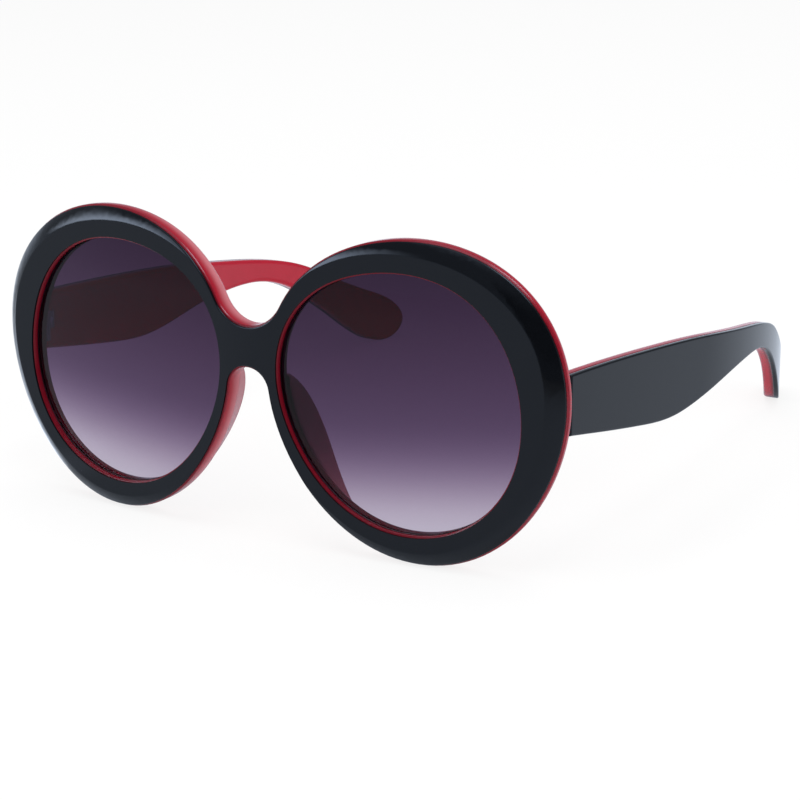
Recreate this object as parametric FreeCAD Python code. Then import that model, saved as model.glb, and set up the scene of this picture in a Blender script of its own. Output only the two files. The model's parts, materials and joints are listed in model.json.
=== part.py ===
import FreeCAD, Part

import math
import os
from FreeCAD import Vector

# Oversized round sunglasses. Millimetres and degrees.
# The pieces are drawn in the front's own frame: x = 0 at the middle of the bridge, y = 0 at its front face,
# +y towards the ears, z = 0 at the height of the lens centres. The wearer's left is +x.
# At the end everything is stood on a table, on the rims and the tips of the arms.

# Front: sizes seen from straight ahead
lens_spacing = 74.8
opening_radius = 29.4
opening_waves = ((2, 0.9, -40), (3, 0.6, 42), (4, 0.3, 59))
rim_radius = 35.1
rim_waves = ((2, 0.5, 110), (3, 1.0, 34))
rim_shift_x = 3.05
rim_shift_z = 0.7
bridge_top = 12.8
bridge_bottom = 4.1
outline_steps = 48

# Front: sizes seen from above
rim_wrap = 4.5
bridge_half_width = 7.0
front_thickness = 5.6
black_thickness = 0.5
red_lip = 0.35
opening_lip = 0.3
back_rounding = 1.3
opening_rounding = 0.5

# Bevel round the outside of the black layer, widest at the temples and gone at the bridge.
# Its shares are rings on the way from its ridge (0) to the rim's edge (1), with one beyond each end.
bevel_width = 3.4
bevel_depth = 2.2
bevel_runout = 138.0
bevel_fade = 3
bevel_lead = 0.5
bevel_shares = (-0.2, 0.3, 0.75, 1.2)
bevel_margin = 1.0

# Lenses
lens_curve = 265.0
lens_thickness = 1.8
lens_edge_depth = 1.6
lens_play = 0.1
tongue_depth = 2.2
tongue_thickness = 0.8
tongue_reach = 0.7

# Nose pads
pad_first_angle = 178.0
pad_last_angle = 241.0
pad_reach = 5.0
pad_least = 0.6
pad_peak = 0.36
pad_splay = 21.0
pad_edge = 0.15
pad_root = 2.5
pad_sunk = 0.6
pad_tip = 1.6
pad_sections = 9

# Arms: plan, from the front's back face to the tip
temple_face_x = 74.6
temple_thickness = 4.0
temple_black = 1.2
temple_splay = 3.0
temple_straight = 61.6
temple_bend = 184.5
temple_toe = 23.7
temple_gap = 0.3
temple_lead = 6.0
outer_rounding = 0.4
inner_rounding = 1.0

# Arms: side view, as (distance behind the bridge, height)
temple_top_edge = ((6, 9.6), (28, 8.9), (50, 7.6), (75, 5.5), (94, 3.2), (110, 1.0))
temple_tip_edge = ((125, -2.8), (138, -9.0), (149, -14.0), (156.4, -18.2), (159.4, -23.4))
temple_toe_edge = ((157, -27.7), (151.6, -29.1))
temple_rear_edge = ((145, -26.2), (136, -19.2), (127, -12.6), (118, -7.6), (108, -4.9))
temple_bottom_edge = ((97, -4.8), (84, -6.3), (70, -8.7), (57, -9.9), (42, -8.5), (24, -5.7), (6, -2.8))
core_line = ((26, 1.6), (60, -1.4), (92, -0.9), (112, -2.4))
core_height = 2.4
core_thickness = 1.2

# Hinges
hinge_axis_in = 6.0
hinge_axis_back = 1.9
hinge_height = 2.6
knuckle_radius = 1.6
knuckle_tall = 2.3
hinge_half = 3.75
knuckle_play = 0.06
screw_radius = 0.75
screw_play = 0.05
screw_head_radius = 1.2
screw_head_tall = 0.7
screw_slot_width = 0.35
screw_slot_depth = 0.3
leaf_thickness = 0.8
leaf_width = 2.6
temple_leaf_length = 7.7
temple_leaf_height = 4.2
pin_radius = 0.6
pin_length = 1.8
pin_offsets = (3.1, 5.5)
pin_proud = 0.2
arm_front = 0.9
anchor_width = 1.2
anchor_depth = 1.0

# Worked out from the sizes above
lens_x = lens_spacing / 2
wrap = math.radians(rim_wrap)
bridge_radius = bridge_half_width / math.sin(wrap)
lens_y = bridge_radius * (1 - math.cos(wrap)) + (lens_x - bridge_half_width) * math.tan(wrap)
rim_middle_x = lens_x + rim_shift_x
splay, toe = math.radians(temple_splay), math.radians(temple_toe)

# Limits of the working: a length beyond every edge, when two points touch, and how searches run
far = 60.0
touch = 0.02
edge_samples = 5
mesh_step = 0.05
search_rounds = 40
notch_steps = 720
most_tilt = 15.0


def wavy(angle, radius, waves):
    """Radius at an angle of a circle that a few gentle waves make oval and three-cornered."""
    return radius + sum(size * math.cos(count * (angle - math.radians(turn))) for count, size, turn in waves)


def rim_outline(angle, lip=0.0):
    return wavy(angle, rim_radius + lip, rim_waves)


def opening_outline(angle):
    return wavy(angle, opening_radius, opening_waves)


def curve_through(points):
    curve = Part.BSplineCurve()
    curve.interpolate(points)
    return curve.toShape()


def closed_ring(radius_at, depth, middle=(0.0, 0.0)):
    """Closed wire round a rim, in the rim's own plane."""
    points = []
    for step in range(outline_steps):
        angle = 2 * math.pi * step / outline_steps
        x = middle[0] + radius_at(angle) * math.cos(angle)
        z = middle[1] + radius_at(angle) * math.sin(angle)
        points.append(Vector(x, depth, z))
    curve = Part.BSplineCurve()
    curve.interpolate(points, PeriodicFlag=True)
    return Part.Wire([curve.toShape()])


def ring_prism(radius_at, near, deep):
    return Part.Face(closed_ring(radius_at, near)).extrude(Vector(0, deep - near, 0))


def in_rim(shape):
    """Place a shape, drawn in the rim's own plane about the lens centre, on the wearer's left."""
    placed = shape.copy()
    turn = FreeCAD.Rotation(Vector(0, 0, 1), rim_wrap)
    placed.Placement = FreeCAD.Placement(Vector(lens_x, lens_y, 0), turn)
    return placed


def mirrored(shape):
    return shape.mirror(Vector(0, 0, 0), Vector(1, 0, 0))


def plan_corners(depth):
    """End of the bridge's arc and far end of the straight run, this deep behind the front face."""
    radius = bridge_radius - depth
    bend_end = Vector(radius * math.sin(wrap), bridge_radius - radius * math.cos(wrap), 0)
    run_end = bend_end + Vector(math.cos(wrap), math.sin(wrap), 0) * 2 * far
    return bend_end, run_end


def slab(near, deep):
    """The front's flat-curved-flat plan between two depths, as tall as needed."""
    bend_near, run_near = plan_corners(near)
    bend_deep, run_deep = plan_corners(deep)
    flip = lambda point: Vector(-point.x, point.y, 0)
    edges = [
        Part.LineSegment(flip(run_near), flip(bend_near)).toShape(),
        Part.Arc(flip(bend_near), Vector(0, near, 0), bend_near).toShape(),
        Part.LineSegment(bend_near, run_near).toShape(),
        Part.LineSegment(run_near, run_deep).toShape(),
        Part.LineSegment(run_deep, bend_deep).toShape(),
        Part.Arc(bend_deep, Vector(0, deep, 0), flip(bend_deep)).toShape(),
        Part.LineSegment(flip(bend_deep), flip(run_deep)).toShape(),
        Part.LineSegment(flip(run_deep), flip(run_near)).toShape(),
    ]
    plan = Part.Face(Part.Wire(edges))
    plan.translate(Vector(0, 0, -far))
    return plan.extrude(Vector(0, 0, 2 * far))


def rim_point(angle, lip):
    radius = rim_outline(angle, lip)
    return Vector(rim_middle_x + radius * math.cos(angle), 0, rim_shift_z + radius * math.sin(angle))


def notch(edge, way, lip):
    """Angle on the rim where the round notch above (way 1) or below (way -1) the bridge runs into it."""
    angles = [math.pi / 2 + math.pi * step / notch_steps for step in range(notch_steps + 1)]
    points = [rim_point(angle, lip) for angle in angles]
    small, large = 0.0, far
    for _ in range(search_rounds):
        radius = (small + large) / 2
        middle = Vector(0, 0, edge + way * radius)
        distances = [point.distanceToPoint(middle) for point in points]
        nearest = min(distances)
        if nearest > radius:
            small = radius
        else:
            large = radius
    return angles[distances.index(nearest)]


def front_prism(lip):
    """Everything inside the front's outline, both rims and the bridge, straight through."""
    top_edge, bottom_edge = bridge_top + lip, bridge_bottom - lip
    start = notch(top_edge, 1, lip)
    end = notch(bottom_edge, -1, lip) - 2 * math.pi
    angles = [start + (end - start) * step / outline_steps for step in range(outline_steps + 1)]
    left = [rim_point(angle, lip) for angle in angles]
    right = [Vector(-point.x, 0, point.z) for point in reversed(left)]
    outline = Part.Wire([
        Part.Arc(right[-1], Vector(0, 0, top_edge), left[0]).toShape(),
        curve_through(left),
        Part.Arc(left[-1], Vector(0, 0, bottom_edge), right[0]).toShape(),
        curve_through(right),
    ])
    outline.translate(Vector(0, -far, 0))
    return Part.Face(outline).extrude(Vector(0, 2 * far, 0))


def bevel_inset(angle):
    """How far the bevel's ridge lies inside the rim's outline; below zero there is no bevel."""
    limit = 1 - math.cos(math.radians(bevel_runout))
    return bevel_width * (1 - ((1 - math.cos(angle)) / limit) ** bevel_fade)


def bevel_cutter(sink):
    """What the bevel takes off one rim: a block outside a ring that swells towards the back."""
    fall = [bevel_lead * share + (1 - bevel_lead) * share ** 2 for share in bevel_shares]
    depths = [sink + bevel_depth * share for share in fall]
    rings = []
    for share, depth in zip(bevel_shares, depths):
        radius_at = lambda angle: rim_outline(angle) - bevel_inset(angle) + bevel_width * share
        rings.append(closed_ring(radius_at, depth, (rim_shift_x, rim_shift_z)))
    kept = Part.makeLoft(rings, True, False)
    inner_end = rim_shift_x + rim_radius * math.cos(math.radians(bevel_runout)) - bevel_margin
    corner = Vector(inner_end, depths[0], -far)
    block = Part.makeBox(2 * far, depths[-1] - depths[0], 2 * far, corner)
    return in_rim(block.cut(kept))


def front_mass(sink):
    """The front's bevelled face and all behind it, starting this deep."""
    cutter = bevel_cutter(sink)
    return slab(sink, front_thickness).cut(cutter).cut(mirrored(cutter))


def both_sides(shape):
    return [shape, mirrored(shape)]


def make_front_face():
    layer = front_mass(0).cut(front_mass(black_thickness))
    face = layer.common(front_prism(0))
    for hole in both_sides(in_rim(ring_prism(opening_outline, -far, far))):
        face = face.cut(hole)
    return face


def red_opening(angle):
    return opening_outline(angle) - opening_lip


def depth_in_front(point):
    """Depth of a point behind the front face, measured square to it."""
    side = abs(point.x)
    if side < (bridge_radius - point.y) * math.tan(wrap):
        return bridge_radius - math.hypot(side, bridge_radius - point.y)
    bend_end, _ = plan_corners(0)
    return (point.y - bend_end.y) * math.cos(wrap) - (side - bend_end.x) * math.sin(wrap)


def lies_at(edge, depth_of, depth):
    return all(abs(depth_of(point) - depth) < touch for point in edge.discretize(edge_samples))


def back_edges(shape):
    """Edges of the front where its back face ends, without the seams across that face."""
    found = []
    for edge in shape.Edges:
        if lies_at(edge, depth_in_front, front_thickness) and not isinstance(edge.Curve, Part.Line):
            found.append(edge)
    return found


def make_front_back():
    mass = front_mass(black_thickness).common(front_prism(red_lip))
    groove_reach = tongue_reach + lens_play
    groove_back = tongue_depth + tongue_thickness
    groove = ring_prism(lambda angle: red_opening(angle) + groove_reach, tongue_depth, groove_back)
    for hole in both_sides(in_rim(ring_prism(red_opening, -far, far))):
        mass = mass.cut(hole)
    mass = mass.makeFillet(back_rounding, [edge for edge in back_edges(mass) if not edge.isClosed()])
    mass = mass.makeFillet(opening_rounding, [edge for edge in back_edges(mass) if edge.isClosed()])
    for cut in both_sides(in_rim(groove)):
        mass = mass.cut(cut)
    return mass


def make_lens():
    middle = Vector(0, lens_edge_depth - opening_radius ** 2 / (2 * lens_curve) + lens_curve, 0)
    dome = Part.makeSphere(lens_curve, middle).cut(Part.makeSphere(lens_curve - lens_thickness, middle))
    body = dome.common(ring_prism(lambda angle: red_opening(angle) - lens_play, -far, far))
    tongue_back = tongue_depth + tongue_thickness
    tongue = ring_prism(lambda angle: red_opening(angle) + tongue_reach, tongue_depth, tongue_back)
    hollow = ring_prism(lambda angle: red_opening(angle) - tongue_reach, tongue_depth, tongue_back)
    return in_rim(body.fuse(tongue.cut(hollow)).removeSplitter())


def back_y(x):
    """Where the front's back face is, at this distance from the middle."""
    bend_end, _ = plan_corners(front_thickness)
    return bend_end.y + (x - bend_end.x) * math.tan(wrap)


def pad_section(share):
    """Cross-section of a nose pad, square to the rim, at this share of its length."""
    angle = math.radians(pad_first_angle + (pad_last_angle - pad_first_angle) * share)
    swell = math.sin(math.pi * share ** (math.log(0.5) / math.log(pad_peak)))
    reach = pad_least + pad_reach * swell
    lean = pad_edge + reach * math.tan(math.radians(pad_splay))
    outer = rim_outline(angle)

    def at(inset, behind):
        x = rim_middle_x + (outer - inset) * math.cos(angle)
        z = rim_shift_z + (outer - inset) * math.sin(angle)
        return Vector(x, back_y(x) + behind, z)

    root_near, root_far = at(pad_edge, -pad_sunk), at(pad_edge + pad_root, -pad_sunk)
    tip_near, tip_far = at(lean, reach), at(lean + pad_tip, reach)
    tip_end = at(lean + pad_tip / 2, reach + pad_tip / 2)
    return Part.Wire([
        Part.LineSegment(root_near, tip_near).toShape(),
        Part.Arc(tip_near, tip_end, tip_far).toShape(),
        Part.LineSegment(tip_far, root_far).toShape(),
        Part.LineSegment(root_far, root_near).toShape(),
    ])


def largest_solid(shape):
    return max(shape.Solids, key=lambda solid: solid.Volume)


def make_nose_pad(front_back):
    sections = [pad_section(step / (pad_sections - 1)) for step in range(pad_sections)]
    return largest_solid(Part.makeLoft(sections, True, False).cut(front_back))


def facing(turn):
    """Unit vector that an arm's outer face looks along where the arm has turned this far inwards."""
    return Vector(math.cos(turn), math.sin(turn), 0)


def ahead(turn):
    return Vector(-math.sin(turn), math.cos(turn), 0)


def bend_middle():
    """Centre of an arm's bend, seen from above."""
    butt = Vector(temple_face_x, back_y(temple_face_x), 0)
    return butt + ahead(-splay) * temple_straight - facing(-splay) * temple_bend


def temple_path(depth):
    """Corners of an arm's plan line, this deep inside its outer face, from the front end to the tip."""
    first, halfway, last = [
        bend_middle() + facing(turn) * (temple_bend - depth) for turn in (-splay, (toe - splay) / 2, toe)
    ]
    start = first - ahead(-splay) * (temple_straight + temple_lead)
    return start, first, halfway, last, last + ahead(toe) * far


def depth_in_arm(point):
    """Depth of a point inside an arm's outer face, measured square to it."""
    reach = Vector(point.x, point.y, 0) - bend_middle()
    turn = math.atan2(reach.y, reach.x)
    return temple_bend - reach.dot(facing(min(max(turn, -splay), toe)))


def temple_slab(near, deep):
    """An arm's plan between two depths inside its outer face, as tall as needed."""
    outer, inner = temple_path(near), temple_path(deep)
    edges = [
        Part.LineSegment(outer[0], outer[1]).toShape(),
        Part.Arc(outer[1], outer[2], outer[3]).toShape(),
        Part.LineSegment(outer[3], outer[4]).toShape(),
        Part.LineSegment(outer[4], inner[4]).toShape(),
        Part.LineSegment(inner[4], inner[3]).toShape(),
        Part.Arc(inner[3], inner[2], inner[1]).toShape(),
        Part.LineSegment(inner[1], inner[0]).toShape(),
        Part.LineSegment(inner[0], outer[0]).toShape(),
    ]
    plan = Part.Face(Part.Wire(edges))
    plan.translate(Vector(0, 0, -far))
    return plan.extrude(Vector(0, 0, 2 * far))


def side_points(points, lift=0.0):
    return [Vector(0, y, z + lift) for y, z in points]


def side_prism(edges):
    return Part.Face(Part.Wire(edges)).extrude(Vector(2 * far, 0, 0))


def temple_prism():
    """Side view of an arm, straight through."""
    rear = temple_tip_edge + temple_toe_edge + temple_rear_edge
    outline = side_points(temple_top_edge + rear + temple_bottom_edge)
    return side_prism([curve_through(outline), Part.LineSegment(outline[-1], outline[0]).toShape()])


def make_core():
    upper, lower = side_points(core_line, core_height / 2), side_points(core_line, -core_height / 2)
    band = side_prism([
        curve_through(upper),
        Part.LineSegment(upper[-1], lower[-1]).toShape(),
        curve_through(lower[::-1]),
        Part.LineSegment(lower[0], upper[0]).toShape(),
    ])
    middle = (temple_black + temple_thickness) / 2
    return band.common(temple_slab(middle - core_thickness / 2, middle + core_thickness / 2))


def clear_of_front():
    """Block that trims an arm's front end to stand just off the front's back face."""
    depth = far + front_thickness + temple_gap
    return in_rim(Part.makeBox(2 * far, depth, 2 * far, Vector(-far, -far, -far)))


def make_temple_layer(near, deep, rounded_face, rounding):
    """One layer of an arm, with the edges of its free face rounded."""
    layer = temple_prism().common(temple_slab(near, deep)).cut(clear_of_front())
    edges = [edge for edge in layer.Edges if lies_at(edge, depth_in_arm, rounded_face)]
    return layer.makeFillet(rounding, edges)


def knuckle(floor, tall):
    return Part.makeCylinder(knuckle_radius, tall, Vector(0, 0, floor))


def at_hinge(shape, turn=0.0):
    """Place a shape, drawn about a vertical hinge line at the middle of the hinge, on the wearer's left."""
    placed = shape.copy()
    placed.Placement = FreeCAD.Placement(hinge_point, FreeCAD.Rotation(Vector(0, 0, 1), turn))
    return placed


def hinge_bore(radius):
    return Part.makeCylinder(radius, 2 * far, Vector(0, 0, -far))


def screw_head():
    return Part.makeCylinder(screw_head_radius, screw_head_tall, Vector(0, 0, hinge_half - screw_head_tall))


def make_hinge_front():
    """Leaf let into the front's back face, with a hidden anchor and the top and bottom knuckles."""
    side, floor = -leaf_width / 2, -hinge_half
    leaf_front = -hinge_axis_back - leaf_thickness
    anchor_corner = Vector(-anchor_width / 2, leaf_front - anchor_depth, -hinge_half / 2)
    leaf = Part.makeBox(leaf_width, leaf_thickness, 2 * hinge_half, Vector(side, leaf_front, floor))
    leaf = leaf.fuse(Part.makeBox(anchor_width, anchor_depth, hinge_half, anchor_corner))
    for base in (floor, hinge_half - knuckle_tall):
        web = Part.makeBox(leaf_width, hinge_axis_back, knuckle_tall, Vector(side, -hinge_axis_back, base))
        leaf = leaf.fuse(web).fuse(knuckle(base, knuckle_tall))
    leaf = leaf.cut(hinge_bore(screw_radius)).cut(screw_head())
    return at_hinge(leaf.removeSplitter(), rim_wrap)


def make_hinge_temple():
    """Leaf let into an arm's inner side, with the middle knuckle."""
    tall = 2 * (hinge_half - knuckle_tall - knuckle_play)
    inner_face = temple_face_x - temple_thickness - hinge_point.x
    arm_size = (inner_face + leaf_thickness, arm_front + knuckle_radius, tall)
    arm = Part.makeBox(*arm_size, Vector(0, -arm_front, -tall / 2))
    plate_corner = Vector(inner_face, -arm_front, -temple_leaf_height / 2)
    plate = Part.makeBox(leaf_thickness, temple_leaf_length, temple_leaf_height, plate_corner)
    leaf = knuckle(-tall / 2, tall).fuse(arm).fuse(plate).cut(hinge_bore(screw_radius + screw_play))
    return at_hinge(leaf.removeSplitter(), -temple_splay)


def make_screw():
    shank = Part.makeCylinder(screw_radius, 2 * hinge_half - screw_head_tall, Vector(0, 0, -hinge_half))
    slot_corner = Vector(-far, -screw_slot_width / 2, hinge_half - screw_slot_depth)
    slot = Part.makeBox(2 * far, screw_slot_width, far, slot_corner)
    return at_hinge(shank.fuse(screw_head()).cut(slot).removeSplitter())


def make_pins():
    inner_face = temple_face_x - temple_thickness - hinge_point.x
    pins = [
        Part.makeCylinder(pin_radius, pin_length, Vector(inner_face - pin_proud, along, 0), Vector(1, 0, 0))
        for along in pin_offsets
    ]
    return at_hinge(Part.makeCompound(pins), -temple_splay)


hinge_x = temple_face_x - hinge_axis_in
hinge_point = Vector(hinge_x, back_y(hinge_x) + hinge_axis_back / math.cos(wrap), hinge_height)

front_back = make_front_back()
pins = make_pins()
hinge_front = make_hinge_front()
hinge_temple = make_hinge_temple().cut(pins)
core = make_core()
temple_outer = make_temple_layer(0, temple_black, 0, outer_rounding)
temple_inner = make_temple_layer(temple_black, temple_thickness, temple_thickness, inner_rounding)
front_pieces = {
    "front_face": make_front_face(),
    "front_back": front_back.cut(hinge_front).cut(mirrored(hinge_front)),
}
sided_pieces = {
    "lens_{}": make_lens(),
    "nose_pad_{}": make_nose_pad(front_back),
    "hinge_front_{}": hinge_front,
    "hinge_screw_{}": make_screw(),
    "hinge_temple_{}": hinge_temple,
    "hinge_pins_{}": pins,
    "temple_{}_outer": temple_outer,
    "temple_{}_inner": temple_inner.cut(core).cut(hinge_temple).cut(pins),
    "temple_{}_core": core,
}


def lowest(shapes, tilt):
    """Height of the lowest point of some shapes once the front is leaned back by this angle."""
    lean = FreeCAD.Rotation(Vector(1, 0, 0), -tilt)
    return min(lean.multVec(point).z for shape in shapes for point in shape.tessellate(mesh_step)[0])


def standing_tilt():
    """Lean at which the rims and the tips of the arms are down together."""
    arms = [sided_pieces["temple_{}_outer"], sided_pieces["temple_{}_inner"]]
    low, high = 0.0, most_tilt
    for _ in range(search_rounds):
        tilt = (low + high) / 2
        if lowest(arms, tilt) > lowest(front_pieces.values(), tilt):
            low = tilt
        else:
            high = tilt
    return tilt


tilt = standing_tilt()
lean = FreeCAD.Placement(Vector(0, 0, 0), FreeCAD.Rotation(Vector(1, 0, 0), -tilt))
pieces = dict(front_pieces)
for pattern, shape in sided_pieces.items():
    pieces[pattern.format("left")] = shape
    pieces[pattern.format("right")] = mirrored(shape)

points = [lean.multVec(point) for shape in pieces.values() for point in shape.tessellate(mesh_step)[0]]
depths = [point.y for point in points]
drop = Vector(0, -(min(depths) + max(depths)) / 2, -min(point.z for point in points))
stand = FreeCAD.Placement(drop, lean.Rotation)

os.makedirs("parts", exist_ok=True)
for name, shape in pieces.items():
    placed = shape.copy()
    placed.Placement = stand.multiply(shape.Placement)
    placed.exportStep("parts/" + name + ".step")
    print(name, placed.isValid(), len(placed.Solids), round(placed.Volume, 1))

axis = stand.Rotation.multVec(Vector(0, 0, 1))
print("tilt", tilt, "shift", drop)
print("left hinge", stand.multVec(hinge_point), "axis", axis)
print("front middle", stand.multVec(Vector(0, 0, 0)))
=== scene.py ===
import json
import math

import bpy
from mathutils import Matrix, Vector


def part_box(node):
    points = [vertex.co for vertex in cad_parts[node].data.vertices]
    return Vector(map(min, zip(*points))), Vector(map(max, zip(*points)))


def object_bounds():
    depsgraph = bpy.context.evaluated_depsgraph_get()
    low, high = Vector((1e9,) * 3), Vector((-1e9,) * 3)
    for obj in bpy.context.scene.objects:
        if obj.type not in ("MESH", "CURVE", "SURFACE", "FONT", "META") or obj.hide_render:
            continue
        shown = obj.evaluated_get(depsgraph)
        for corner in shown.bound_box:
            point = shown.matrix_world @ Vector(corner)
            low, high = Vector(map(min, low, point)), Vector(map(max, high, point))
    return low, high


# Oversized round sunglasses: finishes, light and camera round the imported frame. Metres and degrees.
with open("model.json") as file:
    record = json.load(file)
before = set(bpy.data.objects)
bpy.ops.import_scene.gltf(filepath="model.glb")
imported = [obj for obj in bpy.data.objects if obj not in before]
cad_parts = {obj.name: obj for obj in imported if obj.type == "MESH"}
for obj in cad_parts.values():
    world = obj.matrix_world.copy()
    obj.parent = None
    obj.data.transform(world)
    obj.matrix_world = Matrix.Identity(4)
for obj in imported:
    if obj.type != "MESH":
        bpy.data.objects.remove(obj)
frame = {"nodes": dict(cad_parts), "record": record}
cad_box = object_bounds()
scene = bpy.context.scene
box_low, box_high = cad_box
lens_low, lens_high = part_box("lens_left")
lens_middle_x = (lens_low.x + lens_high.x) / 2
lens_middle_z = (lens_low.z + lens_high.z) / 2
lens_half_width = (lens_high.x - lens_low.x) / 2
lens_half_height = (lens_high.z - lens_low.z) / 2

# Camera: where it looks from, and the point on the bridge that it is set out from
camera_azimuth = 32.21
camera_elevation = 17.57
camera_roll = -1.61
camera_distance = 0.4813
camera_slide = (0.03390, -0.00351)
camera_focal = 98.03
camera_nearest = 0.01
bridge_point = Vector((0, -0.07897, 0.03644))

# A finish varies between two tones and two roughnesses. Its cloud, waves, grain and marks are the sizes of
# its noise, and its bump is a strength and a depth.
noise_range = (0.3, 0.7)

# Black sheet: its edges are rounded by polishing, but stay crisp within this distance of a lens's middle
black_tones = ((0.0016, 0.0019, 0.0027), (0.0028, 0.0032, 0.0044))
black_roughness = (0.05, 0.10)
black_ior = 1.32
black_sheen = (0.86, 0.91, 1.0)
black_cloud = 0.012
black_waves = 0.006
black_bump = (0.04, 0.0001)
black_rounding = 0.0005
crisp_within = (lens_half_width + 0.0013, lens_half_width + 0.0023)

# Red sheet: painted shade within seam_reach of the black one, and a painted sheen that makes its walls paler
# as far from it as pale_reach
# The front and the pads take a darker copy of the arms' red: painted shade
shaded_rim_tones = ((0.31, 0.004, 0.016), (0.38, 0.008, 0.023))
arm_tones = ((0.40, 0.007, 0.022), (0.48, 0.012, 0.032))
# Colour of the painted shade along the seam with the black sheet
seam_shade_red = (0.16, 0.004, 0.012)
# Colour of the painted sheen on walls far from the black sheet
painted_sheen_red = (0.58, 0.19, 0.22)
red_roughness = (0.07, 0.14)
red_ior = 1.42
red_cloud = 0.010
red_waves = 0.004
red_bump = (0.05, 0.0001)
red_rounding = 0.0012
seam_attribute = "seam_closeness"
seam_far = 0.01
seam_reach = 0.0012
pale_reach = (0.0010, 0.0040)
open_gloss = 0.5
lined_gloss = 0.2

# Which way the red sheet's surfaces look: from wall to back, towards a lens or past it, and forwards
wall_facing = (0.5, 0.9)
lining_facing = (-0.8, -0.4)
ledge_facing = (-0.95, -0.8)

# Lens: the light let through at its bottom, and the share of it that each of two dyes leaves at the top. One
# dye thickens evenly and one in a soft step, and both are a little thinner outwards.
lens_pale = (0.517, 0.479, 0.588)
even_dye = (0.140, 0.075, 0.129)
step_dye = (0.360, 0.297, 0.422)
dye_step = (0.07, 0.46)
dye_tilt = 0.10
lens_ior = 1.25

# Lens edge: faces that look less far forwards or backwards than this, or lie this close to their groove
# The edge's tones are painted shade from the groove, reddened by a painted reflection of its red walls
edge_shade_and_reflection_tones = ((0.030, 0.004, 0.008), (0.050, 0.007, 0.012))
edge_roughness = (0.35, 0.55)
edge_gloss = 0.2
edge_grain = 0.0006
edge_bump = (0.1, 0.00003)
edge_facing = 0.75
groove_play = 0.00015

# Steel: colours, and how its tool marks are stretched along a piece
satin_colour = (0.38, 0.34, 0.33)
satin_stretch = (1, 1, 0.1)
bright_colour = (0.62, 0.62, 0.63)
bright_stretch = (1, 1, 1)
steel_dulling = 0.8
steel_roughness = (0.18, 0.34)
steel_marks = 0.0004
marks_detail = 3.0
steel_bump = (0.15, 0.00003)

# Smooth shading: seams closer than this are joined, and edges bent more than this stay sharp
seam_gap = 0.000002
crease_angle = 13
rounding_samples = 8

# Studio light: the floor, how much of its white is real light, and the lamps with their azimuth, elevation,
# distance, size and radiance
floor_colour = (0.97, 0.97, 0.97)
floor_size = 8.0
floor_shadow = 0.18
ambient_light = 0.55
lamps = (
    ("overhead", 0, 88, 1.3, (1.2, 1.2), 2.0),
    ("key", -35, 25, 1.0, (0.5, 0.3), 4.0),
    ("fill", 70, 30, 1.0, (0.8, 0.6), 1.8),
)

# What the polish mirrors: white surroundings have this tint. Where four limits are given, the outer and the
# inner two bound a soft window.
plain_white = (1, 1, 1)
mirrored_white = (0.74, 0.84, 1.0)

# Mirrored sky: its level away from the horizon and behind, a dark corner, a glow overhead, and two bright
# patches with their azimuth, elevation and brightness
horizon_rise = (2, 14)
sky_level = 0.42
behind_turn = (100, 135)
behind_level = 0.6
corner_turn = (9, 21, 80, 105)
corner_rise = (-20, -10, 30, 56)
corner_sky_level = 0.18
above_rise = (55, 82)
above_glow = 1.6
bright_patches = (
    ((-88, -50, -45, -18), (9, 15, 18, 40), 10.5),
    ((85, 115, 150, 175), (42, 54, 66, 80), 8.0),
)

# Mirrored floor: the same dark corner from this far out, a bright streak on the wearer's right, and the
# shade between the arms
corner_start = (0.15, 0.6)
corner_floor_level = 0.15
streak_across = (-0.50, -0.30, -0.09, -0.06)
streak_along = (-0.11, -0.085, -0.055, -0.03)
streak_glow = 1.3
shade_across = (box_low.x + 0.003, box_low.x + 0.013, box_high.x - 0.013, box_high.x - 0.003)
shade_along = (box_low.y - 0.001, box_low.y + 0.009, box_high.y - 0.019, box_high.y + 0.011)
shade_level = 0.4


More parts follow.
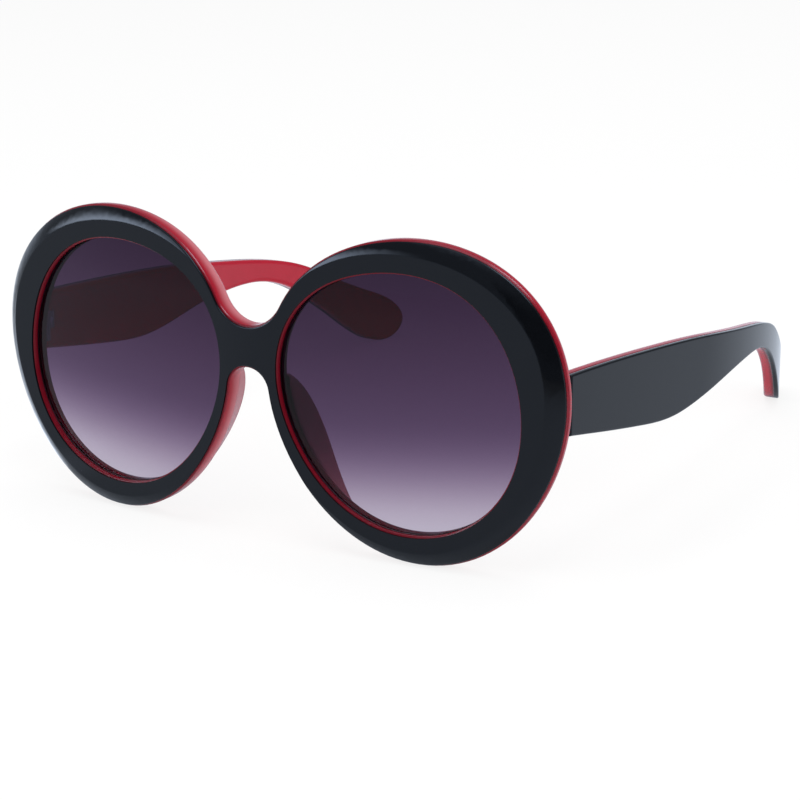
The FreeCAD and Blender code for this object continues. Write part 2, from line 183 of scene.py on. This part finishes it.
class Tree:
    """A node tree, with short ways to add nodes. A value is a number, a colour or another node's output."""

    def __init__(self, node_tree):
        self.nodes = node_tree.nodes
        self.links = node_tree.links

    def feed(self, socket, value):
        if isinstance(value, bpy.types.NodeSocket):
            self.links.new(value, socket)
        elif socket.type == "RGBA":
            socket.default_value = (*value, 1)
        else:
            socket.default_value = value

    def node(self, kind, inputs=None, **settings):
        """New node, with its settings made first and then its inputs fed by name."""
        node = self.nodes.new(kind)
        for name, setting in settings.items():
            setattr(node, name, setting)
        for name, value in (inputs or {}).items():
            self.feed(node.inputs[name], value)
        return node

    def math(self, operation, first, second=0.0):
        node = self.node("ShaderNodeMath", operation=operation)
        self.feed(node.inputs[0], first)
        self.feed(node.inputs[1], second)
        return node.outputs["Value"]

    def product(self, first, *others):
        for other in others:
            first = self.math("MULTIPLY", first, other)
        return first

    def length(self, across, upward):
        squares = [self.math("POWER", part, 2) for part in (across, upward)]
        return self.math("SQRT", self.math("ADD", *squares))

    def ramp(self, value, limits, low=0.0, high=1.0, smooth=False):
        """Runs from low to high as the value runs from the first limit to the second."""
        kind = "SMOOTHSTEP" if smooth else "LINEAR"
        start, end = limits
        inputs = {"Value": value, "From Min": start, "From Max": end, "To Min": low, "To Max": high}
        return self.node("ShaderNodeMapRange", inputs, interpolation_type=kind).outputs["Result"]

    def faded(self, share, low, high):
        """Runs from low to high as a share runs from 0 to 1."""
        return self.ramp(share, (0, 1), low, high)

    def window(self, value, limits):
        """1 between the two inner limits, falling softly to 0 at the two outer ones."""
        rise = self.ramp(value, limits[:2], smooth=True)
        fall = self.ramp(value, limits[2:], 1.0, 0.0, smooth=True)
        return self.product(rise, fall)

    def mixed(self, share, first, last):
        """Colour between two others."""
        inputs = {"Factor": share, "A": first, "B": last}
        return self.node("ShaderNodeMix", inputs, data_type="RGBA").outputs["Result"]

    def split(self, vector):
        parts = self.node("ShaderNodeSeparateXYZ", {"Vector": vector}).outputs
        return parts["X"], parts["Y"], parts["Z"]

    def place(self, kind):
        """The three parts of a texture coordinate of this kind."""
        return self.split(self.node("ShaderNodeTexCoord").outputs[kind])

    def azimuth(self, x, y):
        """Which way a point lies, in degrees, counted as the camera's azimuth is."""
        ahead = self.math("MULTIPLY", y, -1)
        return self.math("DEGREES", self.math("ARCTAN2", x, ahead))

    def noise(self, feature, detail=2.0, stretch=(1, 1, 1)):
        """Noise in the object's own space, with features about this many metres across."""
        place = self.node("ShaderNodeTexCoord").outputs["Object"]
        scale = [share / feature for share in stretch]
        scaled = self.node("ShaderNodeMapping", {"Vector": place, "Scale": scale}).outputs["Vector"]
        inputs = {"Vector": scaled, "Scale": 1.0, "Detail": detail}
        return self.node("ShaderNodeTexNoise", inputs).outputs["Fac"]

    def spread(self, noise, limits):
        """Turn a noise value into a number between two limits."""
        return self.ramp(noise, noise_range, *limits)


class Finish(Tree):
    """A new material, with its main shader."""

    def __init__(self, name):
        self.material = bpy.data.materials.new(name)
        self.material.use_nodes = True
        super().__init__(self.material.node_tree)
        self.shader = self.nodes["Principled BSDF"]

    def surface(self, inputs):
        for name, value in inputs.items():
            self.feed(self.shader.inputs[name], value)

    def bump(self, height, strength, depth, rounding=None):
        """Bumps on the surface, over edges that are rounded as by polishing to this radius."""
        inputs = {"Height": height, "Strength": strength, "Distance": depth}
        if rounding:
            edge = self.node("ShaderNodeBevel", {"Radius": rounding}, samples=rounding_samples)
            inputs["Normal"] = edge.outputs["Normal"]
        self.surface({"Normal": self.node("ShaderNodeBump", inputs).outputs["Normal"]})


# Finishes
def from_lens(tree):
    """Which side a point is on, and how far outwards and upwards it is from that lens's middle."""
    x, _, z = tree.place("Object")
    side = tree.math("SIGN", x)
    outward = tree.math("SUBTRACT", tree.math("ABSOLUTE", x), lens_middle_x)
    upward = tree.math("SUBTRACT", z, lens_middle_z)
    return side, outward, upward


def polished_black():
    """Hand-polished black sheet: a cool near-black with a faintly uneven gloss."""
    finish = Finish("polished_black")
    cloud = finish.noise(black_cloud)
    finish.surface({
        "Base Color": finish.mixed(cloud, *black_tones),
        "Roughness": finish.spread(cloud, black_roughness),
        "IOR": black_ior,
        "Specular Tint": black_sheen,
    })
    _, outward, upward = from_lens(finish)
    rounding = finish.ramp(finish.length(outward, upward), crisp_within, 0.0, black_rounding)
    finish.bump(finish.noise(black_waves), *black_bump, rounding)
    return finish.material


def polished_red(name, tones, painted_sheen_walls=False, shades_openings=False):
    """Clear red sheet, with painted shade where it meets the black one. Walls may take a painted sheen that
    makes them paler far from it, and what lines a lens opening may take painted shade and less gloss."""
    finish = Finish(name)
    cloud = finish.noise(red_cloud)
    tone = finish.mixed(cloud, *tones)
    closeness = finish.node("ShaderNodeAttribute", attribute_name=seam_attribute).outputs["Fac"]
    # Painted shade near the black sheet
    painted_shade = finish.ramp(closeness, (seam_far - seam_reach, seam_far), smooth=True)
    # Painted sheen on the walls
    if painted_sheen_walls:
        tone = finish.mixed(painted_wall_sheen(finish, closeness), tone, painted_sheen_red)
    # Painted shade, with less gloss, where the sheet lines a lens opening
    if shades_openings:
        opening_shade_share = painted_opening_shade(finish)
        painted_shade = finish.math("MAXIMUM", painted_shade, opening_shade_share)
        finish.surface({"Specular IOR Level": finish.faded(opening_shade_share, open_gloss, lined_gloss)})
    finish.surface({
        "Base Color": finish.mixed(painted_shade, tone, seam_shade_red),
        "Roughness": finish.spread(cloud, red_roughness),
        "IOR": red_ior,
    })
    finish.bump(finish.noise(red_waves), *red_bump, red_rounding)
    return finish.material


def painted_wall_sheen(tree, closeness):
    """Share of painted sheen: 1 on walls square to the front and far from the black sheet, 0 next to it and
    on the back.
    """
    _, y, _ = tree.place("Normal")
    wall = tree.ramp(tree.math("ABSOLUTE", y), wall_facing, 1.0, 0.0)
    gap = tree.math("SUBTRACT", seam_far, closeness)
    return tree.product(wall, tree.ramp(gap, pale_reach, smooth=True))


def painted_opening_shade(tree):
    """Share of painted shade: 1 on the front's narrow ledges and on walls that look towards the middle of a
    lens opening.
    """
    side, outward, upward = from_lens(tree)
    x, y, z = tree.place("Normal")
    away = tree.math("ADD", tree.product(x, side, outward), tree.product(z, upward))
    away = tree.math("DIVIDE", away, tree.length(outward, upward))
    wall = tree.ramp(away, lining_facing, 1.0, 0.0)
    ledge = tree.ramp(y, ledge_facing, 1.0, 0.0)
    return tree.math("MAXIMUM", wall, ledge)


def gradient_lens():
    """Smoke-purple dyes, dense at the top and thin at the bottom."""
    finish = Finish("gradient_lens")
    _, outward, upward = from_lens(finish)
    height = finish.math("SUBTRACT", upward, finish.product(outward, dye_tilt))
    height = finish.ramp(height, (-lens_half_height, lens_half_height))
    step = finish.ramp(height, dye_step, smooth=True)
    tint = finish.node("ShaderNodeCombineColor")
    for socket, pale, even, stepped in zip(tint.inputs, lens_pale, even_dye, step_dye):
        even_share = finish.math("POWER", even, height)
        step_share = finish.math("POWER", stepped, step)
        finish.feed(socket, finish.product(even_share, step_share, pale))
    finish.surface({
        "Base Color": tint.outputs["Color"],
        "Transmission Weight": 1.0,
        "Roughness": 0.0,
        "IOR": lens_ior,
    })
    return finish.material


def lens_edge():
    """Ground edge of a lens, dark with painted shade from the groove that it sits in and reddened by a
    painted reflection of its red walls.
    """
    finish = Finish("lens_edge")
    grain = finish.noise(edge_grain)
    finish.surface({
        "Base Color": finish.mixed(grain, *edge_shade_and_reflection_tones),
        "Roughness": finish.spread(grain, edge_roughness),
        "Specular IOR Level": edge_gloss,
    })
    finish.bump(grain, *edge_bump)
    return finish.material


def worked_metal(name, colour, stretch):
    """Steel with fine tool marks along one way."""
    finish = Finish(name)
    marks = finish.noise(steel_marks, marks_detail, stretch)
    dull = tuple(steel_dulling * part for part in colour)
    finish.surface({
        "Base Color": finish.mixed(marks, dull, colour),
        "Roughness": finish.spread(marks, steel_roughness),
        "Metallic": 1.0,
    })
    finish.bump(marks, *steel_bump)
    return finish.material


# Smooth shading and marks on the meshes, as steps of a modifier
def geometry_group(name, steps):
    """Modifier group that passes the mesh through a row of nodes, each made by one of the steps."""
    group = bpy.data.node_groups.new(name, "GeometryNodeTree")
    for way in ("INPUT", "OUTPUT"):
        group.interface.new_socket("Geometry", in_out=way, socket_type="NodeSocketGeometry")
    tree = Tree(group)
    last = tree.node("NodeGroupInput").outputs["Geometry"]
    for step in steps:
        node = step(tree)
        entry = "Mesh" if "Mesh" in node.inputs else "Geometry"
        tree.feed(node.inputs[entry], last)
        last = node.outputs[0]
    tree.node("NodeGroupOutput", {"Geometry": last})
    return group


def imported_normals_off(tree):
    return tree.node("GeometryNodeRemoveAttribute", {"Name": "custom_normal"})


def seams_joined(tree):
    return tree.node("GeometryNodeMergeByDistance", {"Distance": seam_gap})


def faces_smooth(tree):
    return tree.node("GeometryNodeSetShadeSmooth")


def creases_sharp(tree):
    bend = tree.node("GeometryNodeInputMeshEdgeAngle").outputs["Unsigned Angle"]
    crease = tree.math("GREATER_THAN", bend, math.radians(crease_angle))
    inputs = {"Selection": crease, "Shade Smooth": False}
    return tree.node("GeometryNodeSetShadeSmooth", inputs, domain="EDGE")


def gap_to(tree, name):
    """How far each place on the mesh is from another node of the frame."""
    other = tree.node("GeometryNodeObjectInfo", {"Object": frame["nodes"][name]})
    gap = tree.node("GeometryNodeProximity")
    tree.feed(gap.inputs[0], other.outputs["Geometry"])
    return gap.outputs["Distance"]


def edge_painted(tree):
    """Faces of a lens that look sideways, or lie in its groove, take the edge's finish."""
    _, y, _ = tree.split(tree.node("GeometryNodeInputNormal").outputs["Normal"])
    sideways = tree.math("LESS_THAN", tree.math("ABSOLUTE", y), edge_facing)
    held = tree.math("LESS_THAN", gap_to(tree, "front_back"), groove_play)
    edge = tree.math("MAXIMUM", sideways, held)
    return tree.node("GeometryNodeSetMaterial", {"Material": lens_edge(), "Selection": edge})


def seam_measured(black_sheet):
    """Step that writes how close each point of a red sheet is to its black one: seam_far less the gap."""
    def step(tree):
        closeness = tree.math("SUBTRACT", seam_far, gap_to(tree, black_sheet))
        return tree.node("GeometryNodeStoreNamedAttribute", {"Name": seam_attribute, "Value": closeness})
    return step


def add_group(node, group):
    node.modifiers.new(group.name, "NODES").node_group = group


def dress_nodes():
    """Give each CAD node its finish and its smooth shading."""
    satin = worked_metal("satin_steel", satin_colour, satin_stretch)
    slot_finish = {
        "black": polished_black(),
        "red": polished_red("polished_red", arm_tones),
        "lens": gradient_lens(),
        "hinge": satin,
        "screw": worked_metal("bright_steel", bright_colour, bright_stretch),
        "core": satin,
    }
    pad_red = polished_red("pad_red", shaded_rim_tones, painted_sheen_walls=True)
    own_finish = {
        "front_back": polished_red("rim_red", shaded_rim_tones, painted_sheen_walls=True, shades_openings=True),
        "nose_pad_left": pad_red,
        "nose_pad_right": pad_red,
    }
    black_sheets = {"temple_left_inner": "temple_left_outer", "temple_right_inner": "temple_right_outer"}
    smoothing = (imported_normals_off, seams_joined, faces_smooth, creases_sharp)
    smooth_group = geometry_group("smooth_surface", smoothing)
    edge_group = geometry_group("lens_edge", (edge_painted,))
    for piece in frame["record"]["subparts"]:
        name, slot = piece["node"], piece["material_slot"]
        node = frame["nodes"][name]
        node.data.materials.clear()
        node.data.materials.append(own_finish.get(name, slot_finish[slot]))
        add_group(node, smooth_group)
        if slot == "lens":
            add_group(node, edge_group)
        if slot == "red":
            black_sheet = black_sheets.get(name, "front_face")
            add_group(node, geometry_group("seam_" + name, (seam_measured(black_sheet),)))
        node.modifiers.new("weighted_normals", "WEIGHTED_NORMAL").keep_sharp = True


# Camera
def direction(azimuth, elevation):
    """Unit vector towards an azimuth and elevation in radians; azimuth 0 is straight ahead."""
    level = math.cos(elevation)
    return Vector((math.sin(azimuth) * level, -math.cos(azimuth) * level, math.sin(elevation)))


def put_camera():
    azimuth, elevation, roll = [math.radians(a) for a in (camera_azimuth, camera_elevation, camera_roll)]
    right = Vector((math.cos(azimuth), math.sin(azimuth), 0))
    back = direction(azimuth, elevation)
    up = back.cross(right)
    across = math.cos(roll) * right + math.sin(roll) * up
    upward = math.cos(roll) * up - math.sin(roll) * right
    place = bridge_point + back * camera_distance + across * camera_slide[0] + upward * camera_slide[1]
    data = bpy.data.cameras.new("camera")
    data.lens = camera_focal
    data.clip_start = camera_nearest
    camera = bpy.data.objects.new("camera", data)
    scene.collection.objects.link(camera)
    camera.matrix_world = Matrix.Translation(place) @ Matrix((across, upward, back)).transposed().to_4x4()
    scene.camera = camera


# Floor, world and lamps
def seen_or_mirrored(tree, rays):
    """1 for rays from the camera, a mirror or a lens, 0 for the rest."""
    first = tree.math("MAXIMUM", rays["Is Camera Ray"], rays["Is Glossy Ray"])
    return tree.math("MAXIMUM", first, rays["Is Transmission Ray"])


def only_mirrored(tree, rays):
    """1 for rays thrown back by a polished surface; those that went through a lens don't count."""
    straight = tree.math("SUBTRACT", 1.0, rays["Is Transmission Ray"])
    return tree.product(rays["Is Glossy Ray"], straight)


def mirrored_floor(tree):
    """How bright each place on the floor looks in the polish."""
    x, y, _ = tree.place("Object")
    start = tree.ramp(tree.length(x, y), corner_start, smooth=True)
    corner = tree.product(tree.window(tree.azimuth(x, y), corner_turn), start)
    shade = tree.product(tree.window(x, shade_across), tree.window(y, shade_along))
    streak = tree.product(tree.window(x, streak_across), tree.window(y, streak_along))
    dark = tree.product(tree.faded(corner, 1.0, corner_floor_level), tree.faded(shade, 1.0, shade_level))
    return tree.math("ADD", dark, tree.product(streak, streak_glow))


def floor_finish():
    """Matt white; what the camera sees of it is white with a faint shadow."""
    finish = Finish("floor_white")
    finish.surface({"Base Color": floor_colour, "Roughness": 1.0, "Specular IOR Level": 0.0})
    rays = finish.node("ShaderNodeLightPath").outputs
    glossy = only_mirrored(finish, rays)
    change = finish.product(finish.math("SUBTRACT", mirrored_floor(finish), 1.0), glossy)
    glow = finish.node("ShaderNodeEmission", {
        "Color": finish.mixed(glossy, plain_white, mirrored_white),
        "Strength": finish.math("ADD", change, 1.0),
    })
    mix = finish.node("ShaderNodeMixShader")
    glow_share = finish.product(seen_or_mirrored(finish, rays), 1 - floor_shadow)
    shaders = (finish.shader.outputs["BSDF"], glow.outputs["Emission"])
    for socket, value in zip(mix.inputs, (glow_share, *shaders)):
        finish.feed(socket, value)
    finish.feed(finish.nodes["Material Output"].inputs["Surface"], mix.outputs["Shader"])
    return finish.material


def white_floor():
    mesh = bpy.data.meshes.new("floor")
    half = floor_size / 2
    corners = [(-half, -half, 0), (half, -half, 0), (half, half, 0), (-half, half, 0)]
    mesh.from_pydata(corners, [], [(0, 1, 2, 3)])
    mesh.materials.append(floor_finish())
    floor = bpy.data.objects.new("floor", mesh)
    scene.collection.objects.link(floor)


def mirrored_sky(tree):
    """How bright each part of the sky looks in the polish."""
    x, y, z = tree.place("Generated")
    azimuth = tree.azimuth(x, y)
    elevation = tree.math("DEGREES", tree.math("ARCSINE", z))
    horizon = tree.ramp(elevation, horizon_rise, 1.0, sky_level, smooth=True)
    behind = tree.ramp(tree.math("ABSOLUTE", azimuth), behind_turn, 1.0, behind_level, smooth=True)
    corner = tree.product(tree.window(azimuth, corner_turn), tree.window(elevation, corner_rise))
    sky = tree.product(horizon, behind, tree.faded(corner, 1.0, corner_sky_level))
    sky = tree.math("ADD", sky, tree.ramp(elevation, above_rise, 0.0, above_glow, smooth=True))
    for turn, rise, brightness in bright_patches:
        patch = tree.product(tree.window(azimuth, turn), tree.window(elevation, rise), brightness)
        sky = tree.math("ADD", sky, patch)
    return sky


def studio_world():
    """Even light for the object, a white background, and surroundings of its own for the polish."""
    world = bpy.data.worlds.new("studio")
    scene.world = world
    world.use_nodes = True
    tree = Tree(world.node_tree)
    rays = tree.node("ShaderNodeLightPath").outputs
    glossy = only_mirrored(tree, rays)
    plain = tree.faded(seen_or_mirrored(tree, rays), ambient_light, 1.0)
    others = tree.product(plain, tree.math("SUBTRACT", 1.0, glossy))
    background = tree.nodes["Background"]
    strength = tree.math("ADD", others, tree.product(mirrored_sky(tree), glossy))
    tree.feed(background.inputs["Color"], tree.mixed(glossy, plain_white, mirrored_white))
    tree.feed(background.inputs["Strength"], strength)


def softbox(name, azimuth, elevation, distance, size, radiance):
    """Oblong lamp aimed at the middle of the object and not mirrored."""
    way = direction(math.radians(azimuth), math.radians(elevation))
    data = bpy.data.lights.new(name, "AREA")
    data.shape = "RECTANGLE"
    data.size, data.size_y = size
    data.energy = radiance * math.pi * size[0] * size[1]
    lamp = bpy.data.objects.new(name, data)
    scene.collection.objects.link(lamp)
    lamp.location = (box_low + box_high) / 2 + way * distance
    lamp.rotation_mode = "QUATERNION"
    lamp.rotation_quaternion = way.to_track_quat("Z", "Y")
    lamp.visible_glossy = False


dress_nodes()
put_camera()
white_floor()
studio_world()
for lamp_facts in lamps:
    softbox(*lamp_facts)

scene.view_settings.view_transform = "Standard"
